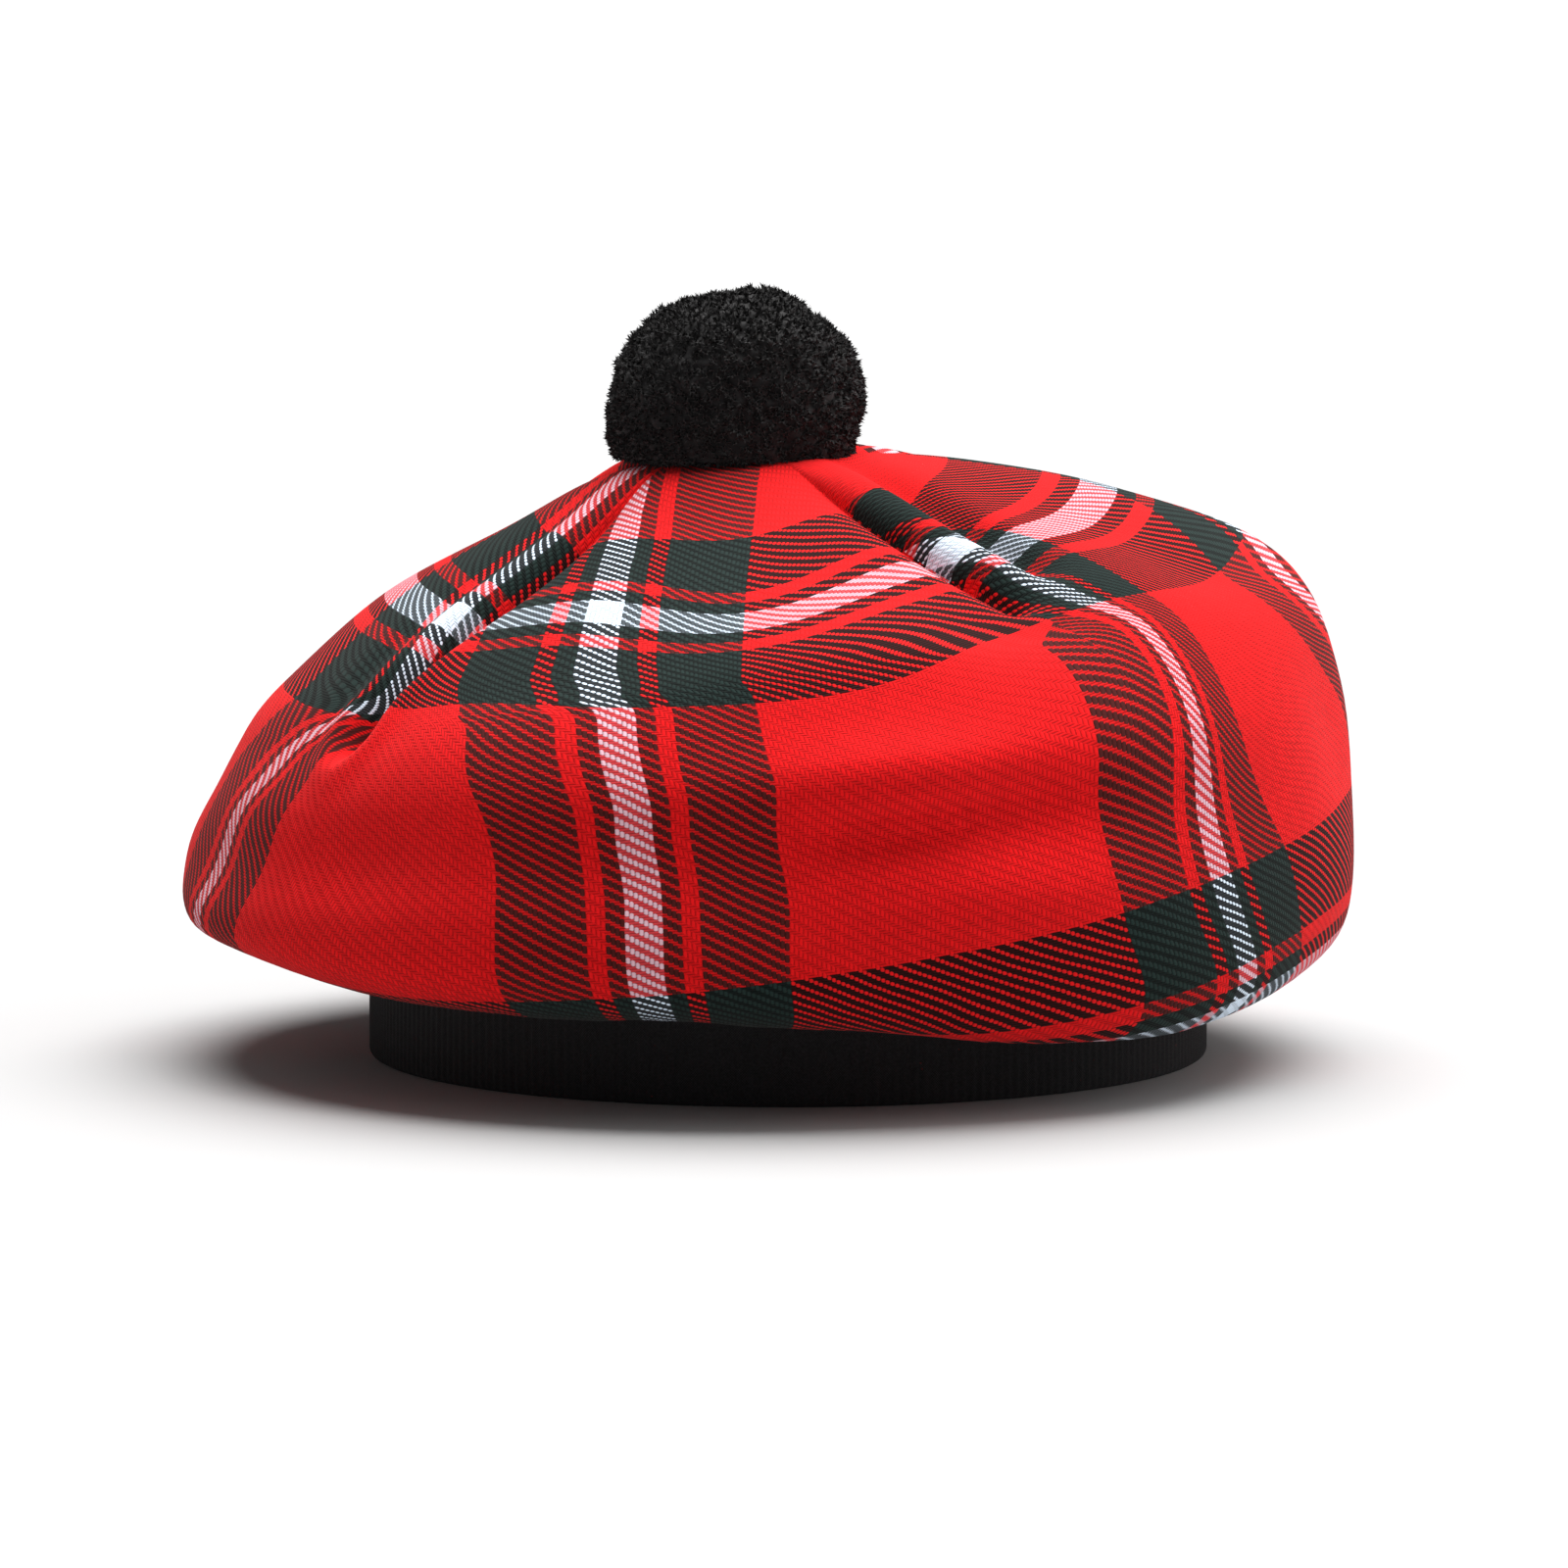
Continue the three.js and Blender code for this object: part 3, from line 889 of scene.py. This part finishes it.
@dataclass
class Crown:
    """The tartan crown: one strip of cloth, tucked to the centre and gathered to the headband.

    The strip's own middle lines lie at axes, and its quarters meet at corners, in degrees. The first
    three quarters are one run of the pattern, and the seam lies in the last tuck. left_pull is how far
    the left quarter's cloth has slipped across at the centre, in mm. The mesh has fine rows as far as
    the section fine_to, and the lining has a row and a column for each lining_step of the outer face.
    Between side_sections the cloth passes from the top's measure to the side's.
    """

    origin: Vector
    form: CrownForm = CrownForm()
    columns: int = 104
    fine_rows: int = 15
    plain_rows: int = 6
    fine_to: int = 6
    crowding: float = 0.6
    wall: float = 1.8
    lining_step: int = 4
    axes: tuple[float, ...] = (-93, 0, 91.5, 178.5)
    corners: tuple[float, ...] = (-139, -47, 47, 136, 221)
    left_pull: float = 55.0
    pull_reach: float = 2.15
    quarter_cloth: float = 209.0
    front_middle_cloth: float = 22.5
    side_slack: float = 12.0
    side_sections: tuple[float, float] = (3.9, 4.9)

    def rows(self) -> np.ndarray:
        """List the mesh's rings.

        Returns:
            Their section numbers, from next to the centre to the cut edge.
        """
        fine = np.arange(1, self.fine_to * self.fine_rows) / self.fine_rows
        steps = (LAST_SECTION - self.fine_to) * self.plain_rows
        plain = self.fine_to + np.arange(steps + 1) / self.plain_rows
        return np.concatenate([fine, plain])

    def angles(self, section: np.ndarray) -> np.ndarray:
        """Place the mesh's columns, crowded at the creases.

        Args:
            section: the rings' section numbers.

        Returns:
            Each ring's angles, once round.
        """
        edges = []
        for tuck in TUCKS:
            out = self.form.plain(np.full_like(section, math.radians(tuck.angle)), section)[1]
            edges.append(tuck.way(out))
        edges.append(edges[0] + 2 * math.pi)
        part = np.arange(self.columns) / self.columns
        eased = part - self.crowding * np.sin(2 * np.pi * part) / (2 * np.pi)
        quarters = [start[:, None] + (end - start)[:, None] * eased for start, end in zip(edges, edges[1:])]
        return np.concatenate(quarters + [edges[-1][:, None]], axis=1)

    def quarter_columns(self, quarter: int, step: int = 1) -> slice:
        """Return a quarter's columns in a grid that has one for each step of the outer face's."""
        return slice(quarter * self.columns // step, (quarter + 1) * self.columns // step + 1)

    def side_cloth(self, angles: np.ndarray, lengths: np.ndarray, quarter: int) -> np.ndarray:
        """Place a ring of the crown's side on the cloth, each corner at its own place on the strip.

        Args:
            angles: the angles round the ring.
            lengths: how far round each is, in mm.
            quarter: the quarter that the cloth is read for.

        Returns:
            The place along the strip, in mm.
        """
        corners = np.interp(np.radians(self.corners), angles, lengths)
        marks = self.front_middle_cloth + self.quarter_cloth * (np.arange(5) - 0.5)
        if quarter == len(TUCKS) - 1:
            return np.interp(lengths, corners[3:], marks[:2] - self.quarter_cloth)
        return np.interp(lengths, corners[:4], marks[:4])

    def flat(self, points: np.ndarray, section: np.ndarray, angle: np.ndarray) -> list[np.ndarray]:
        """Lay the cloth flat.

        Args:
            points: the crown's points, a ring to each row.
            section: their section numbers.
            angle: their angles.

        Returns:
            For each quarter, the place along the strip and down it of its points, in mm.
        """
        steps = np.linalg.norm(np.diff(points, axis=1), axis=-1)
        lengths = np.concatenate([np.zeros((len(steps), 1)), np.cumsum(steps, axis=1)], axis=1)
        on_side = smoothstep(section, *self.side_sections)
        along = self.cloth_along(angle, section) + self.side_slack * np.abs(np.cos(angle)) ** 3
        quarters = []
        for quarter, axis in enumerate(np.radians(self.axes)):
            middle = self.front_middle_cloth + self.quarter_cloth * ((quarter + 1) % 4 - 1)
            starts = np.array([np.interp(axis, ring, length) for ring, length in zip(angle, lengths)])
            side = np.array([self.side_cloth(ring, length, quarter) for ring, length in zip(angle, lengths)])
            top = middle + lengths - starts[:, None]
            if quarter == len(TUCKS) - 1:
                top = top + self.left_pull * bump(section / self.pull_reach)
            flat = np.stack([top * (1 - on_side) + side * on_side, along], axis=-1)
            for drift in [drift for drift in DRIFTS if drift.quarter in (None, quarter)]:
                slip = np.array([drift.across, drift.along])
                flat = flat + share_near(drift, angle, section)[..., None] * slip
            quarters.append(flat[:, self.quarter_columns(quarter)])
        return quarters

    def cloth_along(self, angle: np.ndarray, section: np.ndarray) -> np.ndarray:
        """Measure the cloth down the crown from its centre.

        Args:
            angle: the points' angles.
            section: their section numbers.

        Returns:
            The cloth between the centre and each point, in mm.
        """
        plain = self.form.plain(angle, section)[0]
        first = np.linalg.norm(plain[:1] - CROWN_CENTRE, axis=-1)
        steps = np.linalg.norm(np.diff(plain, axis=0), axis=-1)
        return np.cumsum(np.concatenate([first, steps]), axis=0)

    def mesh(self) -> bpy.types.Mesh:
        """Make the crown's mesh: a fine outer face, and a coarser lining that meets its edge.

        Returns:
            The mesh.
        """
        section = np.repeat(self.rows()[:, None], len(TUCKS) * self.columns + 1, axis=1)
        angle = self.angles(self.rows())
        points = self.form.points(angle, section)
        step = self.lining_step
        lining = self.form.points(angle, section, self.wall)[step - 1 :: step, ::step]
        work = Patchwork()
        outer, inner = (work.add_points(grid[:, :-1]) for grid in (points, lining))
        outer, inner = (np.concatenate([grid, grid[:, :1]], axis=1) for grid in (outer, inner))
        poles = work.add_points(CROWN_CENTRE - [(0, 0, 0), (0, 0, self.wall)])
        for quarter, flat in enumerate(self.flat(points, section, angle)):
            face = outer[:, self.quarter_columns(quarter)]
            back = inner[:, self.quarter_columns(quarter, step)]
            lining_flat = flat[step - 1 :: step, ::step]
            work.add_grid(face, flat, True)
            work.add_grid(back, lining_flat, False)
            self.close(work, face, back, poles, flat, lining_flat)
        return work.mesh("crown", self.origin)

    def close(self, work: Patchwork, outer: np.ndarray, inner: np.ndarray, poles: np.ndarray,
              flat: np.ndarray, lining_flat: np.ndarray) -> None:
        """Close one quarter at the crown's centre and at its cut edge.

        Args:
            work: the mesh in the making.
            outer: the numbers of the outer face's points.
            inner: the numbers of the lining's points.
            poles: the numbers of the two points at the centre.
            flat: the outer face's flat coordinates.
            lining_flat: the lining's flat coordinates.
        """
        for grid, pole, cloth, turn in ((outer, poles[0], flat, 1), (inner, poles[1], lining_flat, -1)):
            for column in range(grid.shape[1] - 1):
                ends = [column, column + 1][::turn]
                work.add_face((pole, *grid[0, ends]), (cloth[0, ends].mean(axis=0), *cloth[0, ends]))
        for column in range(outer.shape[1] - 1):
            few = column // self.lining_step
            work.add_face((outer[-1, column + 1], outer[-1, column], inner[-1, few]),
                          (flat[-1, column + 1], flat[-1, column], flat[-1, column]))
            if (column + 1) % self.lining_step == 0:
                work.add_face((outer[-1, column + 1], inner[-1, few], inner[-1, few + 1]),
                              (flat[-1, column + 1], lining_flat[-1, few], lining_flat[-1, few + 1]))

    def build(self) -> bpy.types.Object:
        """Make the finished crown.

        Returns:
            The piece.
        """
        piece = new_piece("crown_cloth", self.mesh(), TartanTwill().material())
        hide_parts("crown")
        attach(piece, "root")
        return piece


@dataclass
class Headband:
    """The black band: a soft ribbed ring with a rounded lower edge, in mm.

    The ribs stop short of the foot and the top, slack is how far the top's two slow waves reach, and
    foot_cloth is the knit across the foot.
    """

    origin: Vector
    radius: float = 93.5
    wall: float = 3.4
    height: float = 25.0
    rounding: float = 1.6
    ribs: int = 266
    rib_height: float = 0.13
    facets_per_rib: int = 4
    plain_foot: float = 0.3
    plain_top: float = 0.1
    slack: tuple[float, float] = (0.25, 0.15)
    foot_cloth: float = 1.0

    def profile(self) -> np.ndarray:
        """Draw the band's section.

        Returns:
            Points (out, up), from the outside's foot up, over the top and down the inside.
        """
        inside = self.radius - self.wall
        turn = np.radians(np.linspace(0, 90, 5))
        cut = self.rounding * (1 - np.sin(turn))
        lift = self.rounding * (1 - np.cos(turn))
        rise = np.linspace(self.rounding, self.height, 9)
        top = inside + self.wall * np.array([0.75, 0.5, 0.25])
        outside = np.full(8, self.radius)
        out = np.concatenate([self.radius - cut, outside, top, np.full(8, inside), inside + lift])
        up = np.concatenate([lift, rise[1:], np.full(3, self.height), rise[:0:-1], cut])
        return np.stack([out, up], axis=-1)

    def points(self, profile: np.ndarray, angle: np.ndarray) -> np.ndarray:
        """Turn the section into a ring with ribs, a little slack at the top.

        Args:
            profile: the section.
            angle: the angles round the ring.

        Returns:
            The points, a ring to each row.
        """
        out, up = profile[:, :1], profile[:, 1:]
        ribbed = (up > self.plain_foot) & (up < self.height - self.plain_top)
        side = np.where(out < self.radius - self.wall / 2, -1.0, 1.0) * ribbed
        slack = self.slack[0] * np.sin(3 * angle + 0.6) + self.slack[1] * np.sin(8 * angle)
        out = out + side * (self.rib_height * np.cos(self.ribs * angle)) + slack * (up / self.height)
        return np.stack([out * np.cos(angle), out * np.sin(angle), up + 0 * out], axis=-1)

    def build(self) -> bpy.types.Object:
        """Make the finished headband.

        Returns:
            The piece.
        """
        profile = self.profile()
        count = self.ribs * self.facets_per_rib
        work = Patchwork()
        numbers = work.add_points(self.points(profile, np.arange(count) / count * 2 * np.pi))
        steps = np.linalg.norm(np.diff(profile, axis=0), axis=1)
        down = np.cumsum([0.0, *steps, self.foot_cloth])
        around = np.arange(count + 1) * (2 * math.pi * self.radius / count)
        flat = np.stack(np.meshgrid(around, down), axis=-1)
        work.add_grid(np.pad(numbers, ((0, 1), (0, 1)), mode="wrap"), flat, False)
        piece = new_piece("headband_rib", work.mesh("headband", self.origin), RibbedBand().material())
        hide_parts("headband")
        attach(piece, "root")
        return piece


@dataclass(frozen=True)
class Lump:
    """A swell or a flat spot of the pompom: which way it lies, its half-width and its lift in mm."""

    name: str
    way: tuple[float, float, float]
    spread: float
    lift: float


LUMPS = (
    Lump("left shoulder", (-0.72, -0.2, 0.66), 0.42, -1.7),
    Lump("crest", (0.22, 0.0, 0.97), 0.40, 0.4),
    Lump("right cheek", (0.97, -0.1, 0.25), 0.45, 0.7),
    Lump("left cheek", (-0.95, 0.0, -0.3), 0.40, 0.6),
    Lump("front hollow", (-0.1, -0.98, 0.2), 0.35, -1.0),
    Lump("right crown hollow", (0.62, -0.3, 0.72), 0.30, -0.7),
)


@dataclass
class Pompom:
    """The wool pompom: short ends of yarn all over a lumpy ball that is pressed to the crown, in mm.

    Its upper half is crushed to that share of its height, and its foot is flat, pressed above the crown
    at the pompom's edge. Density is tufts to a square metre. A tuft leans and turns by up to lean times
    turns, in radians, and sizes are the least and the greatest share of its full size.
    """

    origin: Vector
    radius: float = 28.0
    centre_height: float = 144.0
    squareness: float = 2.25
    tuft_length: float = 1.9
    tuft_width: float = 2.5
    tuft_root: float = 1.2
    lump_size: float = 5.0
    lump_height: float = 1.2
    slump_size: float = 26.0
    slump_height: float = 1.4
    crushed: float = 0.92
    fibres: int = 8
    density: float = 1_100_000.0
    spacing: float = 0.95
    lean: float = 0.8
    turns: tuple[float, float, float] = (1.0, 1.0, 30.0)
    sizes: tuple[float, float] = (0.86, 1.08)
    pressed: float = 0.6
    seed: int = 11

    @property
    def ball(self) -> float:
        """Return the radius of the ball that the tufts stand on."""
        return self.radius - self.tuft_length + self.tuft_root

    def reach(self, way: Vector) -> float:
        """Measure the lumpy ball without its tufts.

        Args:
            way: a direction from its middle.

        Returns:
            How far it reaches that way, in mm.
        """
        power = self.squareness
        out = self.ball * (math.hypot(way.x, way.y) ** power + abs(way.z) ** power) ** (-1 / power)
        out += self.lump_height * noise.noise(way * self.ball * 2 / self.lump_size)
        out += self.slump_height * noise.noise(way * self.ball * 2 / self.slump_size + Vector((3, 1, 7)))
        for lump in LUMPS:
            out += lump.lift * math.exp(-((way - Vector(lump.way)).length / lump.spread) ** 2)
        return out

    def core(self, material: bpy.types.Material) -> bpy.types.Object:
        """Make the ball that the tufts stand on.

        Args:
            material: its finish.

        Returns:
            The ball.
        """
        bpy.ops.mesh.primitive_ico_sphere_add(subdivisions=6, radius=self.ball)
        made = bpy.context.object
        mesh = made.data
        bpy.data.objects.remove(made)
        centre = self.origin + Vector((SECTIONS[0].middle, 0, self.centre_height)) * MM
        floor = self.origin.z + (SECTIONS[1].front[1] + self.pressed) * MM
        for vertex in mesh.vertices:
            way = vertex.co.normalized()
            tall = self.crushed if way.z > 0 else 1.0
            vertex.co = centre + Vector((way.x, way.y, way.z * tall)) * self.reach(way) * MM
            vertex.co.z = max(vertex.co.z, floor)
        mesh.polygons.foreach_set("use_smooth", [True] * len(mesh.polygons))
        return new_piece("pompom_core", mesh, material)

    def tuft(self, material: bpy.types.Material) -> bpy.types.Object:
        """Make one cut end of yarn: a fan of bent fibres.

        Args:
            material: its finish.

        Returns:
            The tuft, standing on the origin along +Z.
        """
        chance = np.random.default_rng(self.seed)
        vertices, faces = [], []
        for number in range(self.fibres):
            turn = 2 * math.pi * number / self.fibres + chance.uniform(-0.5, 0.5)
            bend = chance.uniform(0.2, 1.0) * self.tuft_width / 2
            height = self.tuft_length * chance.uniform(0.6, 1.0)
            across = Vector((-math.sin(turn + 0.5), math.cos(turn + 0.5), 0))
            out = Vector((math.cos(turn), math.sin(turn), 0))
            first = len(vertices)
            for share, width in ((0.0, 0.20), (0.6, 0.26)):
                middle = out * (bend * share ** 1.5 + 0.1) + Vector((0, 0, height * share - 0.3))
                vertices += [(middle - across * width) * MM, (middle + across * width) * MM]
            vertices.append((out * (bend * 1.6 + 0.1) + Vector((0, 0, height * 0.92 - 0.3))) * MM)
            faces += [(first, first + 1, first + 3, first + 2), (first + 2, first + 3, first + 4)]
        mesh = bpy.data.meshes.new("tuft")
        mesh.from_pydata([tuple(vertex) for vertex in vertices], [], faces)
        mesh.update()
        return new_piece("tuft", mesh, material)

    def tree(self) -> bpy.types.NodeTree:
        """Make the node tree that covers a ball with tufts.

        Returns:
            The tree, whose inputs are named in kinds.
        """
        tree = bpy.data.node_groups.new("tufts_on_ball", "GeometryNodeTree")
        kinds = {"Geometry": "Geometry", "Tuft": "Object", "Density": "Float", "Spacing": "Float",
                 "Lean": "Float", "Seed": "Int", "Finish": "Material"}
        for name, kind in kinds.items():
            tree.interface.new_socket(name, in_out="INPUT", socket_type="NodeSocket" + kind)
        tree.interface.new_socket("Geometry", in_out="OUTPUT", socket_type="NodeSocketGeometry")
        graph = Graph(tree)
        given = graph.node("NodeGroupInput").outputs
        spread = graph.node("GeometryNodeDistributePointsOnFaces", {
            "Mesh": given["Geometry"], "Distance Min": given["Spacing"], "Density Max": given["Density"],
            "Seed": given["Seed"]}, distribute_method="POISSON").outputs
        turns = (tuple(-turn for turn in self.turns), self.turns)
        least, most = (graph.scaled(turn, given["Lean"]) for turn in turns)
        lean = graph.node("FunctionNodeRandomValue", {
            0: least, 1: most, "Seed": given["Seed"]}, data_type="FLOAT_VECTOR")
        bend = graph.node("FunctionNodeEulerToRotation", {0: lean.outputs[0]})
        turned = graph.node("FunctionNodeRotateRotation", {
            0: spread["Rotation"], 1: bend.outputs[0]}, rotation_space="LOCAL")
        size = graph.node("FunctionNodeRandomValue", {2: self.sizes[0], 3: self.sizes[1]}, data_type="FLOAT")
        tuft = graph.node("GeometryNodeObjectInfo", {0: given["Tuft"]})
        placed = graph.node("GeometryNodeInstanceOnPoints", {
            "Points": spread["Points"], "Instance": tuft.outputs["Geometry"],
            "Rotation": turned.outputs[0], "Scale": size.outputs[1]})
        joined = graph.node("GeometryNodeJoinGeometry", {0: placed.outputs[0]})
        tree.links.new(given["Geometry"], joined.inputs[0])
        real = graph.node("GeometryNodeRealizeInstances", {0: joined.outputs[0]})
        dressed = graph.node("GeometryNodeSetMaterial", {0: real.outputs[0], "Material": given["Finish"]})
        graph.node("NodeGroupOutput", {0: dressed.outputs[0]})
        return tree

    def build(self) -> bpy.types.Object:
        """Make the finished pompom.

        Returns:
            The piece.
        """
        material = CutWool().material()
        core = self.core(material)
        tuft = self.tuft(material)
        values = {"Tuft": tuft, "Density": self.density, "Spacing": self.spacing * MM, "Lean": self.lean,
                  "Seed": self.seed, "Finish": material}
        mesh = grown_mesh(core, self.tree(), values)
        bpy.data.objects.remove(core)
        bpy.data.objects.remove(tuft)
        piece = new_piece("pompom_wool", mesh, material)
        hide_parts("pompom")
        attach(piece, "root")
        return piece


def grown_mesh(base: bpy.types.Object, tree: bpy.types.NodeTree, values: dict) -> bpy.types.Mesh:
    """Run a geometry tree on an object and keep its result as a plain mesh.

    Args:
        base: the object that it grows on.
        tree: the geometry tree.
        values: the tree's inputs by name.

    Returns:
        The plain mesh.
    """
    modifier = base.modifiers.new("grown", "NODES")
    modifier.node_group = tree
    for item in tree.interface.items_tree:
        if item.in_out == "INPUT" and item.name in values:
            modifier[item.identifier] = values[item.name]
    graph = bpy.context.evaluated_depsgraph_get()
    mesh = bpy.data.meshes.new_from_object(base.evaluated_get(graph))
    base.modifiers.remove(modifier)
    return mesh


@dataclass
class Studio:
    """The pale floor, the soft lights and the camera.

    The camera is distance metres away and sees field metres, and aim is the point it looks at: metres
    to the right of the headband's middle and above the floor.
    """

    origin: Vector
    distance: float = 2.0
    elevation: float = 5.93
    field: float = 0.350
    aim: tuple[float, float] = (-0.0009, 0.0599)
    sensor: float = 36.0
    fill: float = 0.22

    def floor(self) -> None:
        """Lay the floor."""
        bpy.ops.mesh.primitive_plane_add(size=60.0, location=(0, 0, 0))
        floor = bpy.context.object
        floor.name = "studio_floor"
        floor.data.materials.append(StudioPaper().material())

    def diffuser(self, name: str, towards: tuple[float, float, float], spread: float,
                 strength: float) -> None:
        """Light the hat from a wide diffuser.

        Args:
            name: its name.
            towards: the direction of the diffuser's middle, seen from the hat.
            spread: how wide it looks from the hat, in degrees.
            strength: the light it throws on paper that faces it, in watts per square metre.
        """
        light = bpy.data.lights.new(name, "SUN")
        light.angle = math.radians(spread)
        light.energy = strength
        lamp = bpy.data.objects.new(name, light)
        lamp.location = Vector(towards)
        lamp.rotation_euler = (-Vector(towards)).to_track_quat("-Z", "Y").to_euler()
        bpy.context.scene.collection.objects.link(lamp)

    def camera(self) -> None:
        """Set the camera at the photograph's angle."""
        data = bpy.data.cameras.new("camera")
        data.sensor_width = self.sensor
        data.lens = self.sensor * self.distance / self.field
        data.clip_end = 100
        camera = bpy.data.objects.new("camera", data)
        tilt = math.radians(self.elevation)
        aim = self.origin + Vector((self.aim[0], 0, self.aim[1]))
        camera.location = aim + self.distance * Vector((0, -math.cos(tilt), math.sin(tilt)))
        camera.rotation_euler = (math.pi / 2 - tilt, 0, 0)
        bpy.context.scene.collection.objects.link(camera)
        bpy.context.scene.camera = camera

    def world(self) -> None:
        """Fill the studio with even light."""
        world = bpy.data.worlds.new("studio")
        world.use_nodes = True
        graph = Graph(world.node_tree)
        light = graph.node("ShaderNodeBackground", {0: (1, 1, 1, 1), 1: self.fill})
        graph.node("ShaderNodeOutputWorld", {0: light.outputs[0]})
        bpy.context.scene.world = world

    def build(self) -> None:
        """Set up the whole studio."""
        self.floor()
        self.diffuser("top_diffuser", towards=(0.16, 0.27, 1.0), spread=60.0, strength=6.2)
        self.diffuser("right_diffuser", towards=(1.0, 0.05, 0.80), spread=70.0, strength=1.3)
        self.world()
        self.camera()
        bpy.context.scene.view_settings.view_transform = "Standard"


def main() -> None:
    """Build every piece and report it."""
    logging.basicConfig(level=logging.INFO, format="%(message)s")
    low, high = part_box("headband")
    origin = Vector(((low[0] + high[0]) / 2, (low[1] + high[1]) / 2, low[2]))
    for maker in (Crown(origin), Headband(origin), Pompom(origin)):
        piece = maker.build()
        log.info("%s: %d faces", piece.name, len(piece.data.polygons))
    Studio(origin).build()


if __name__ == "__main__":
    main()
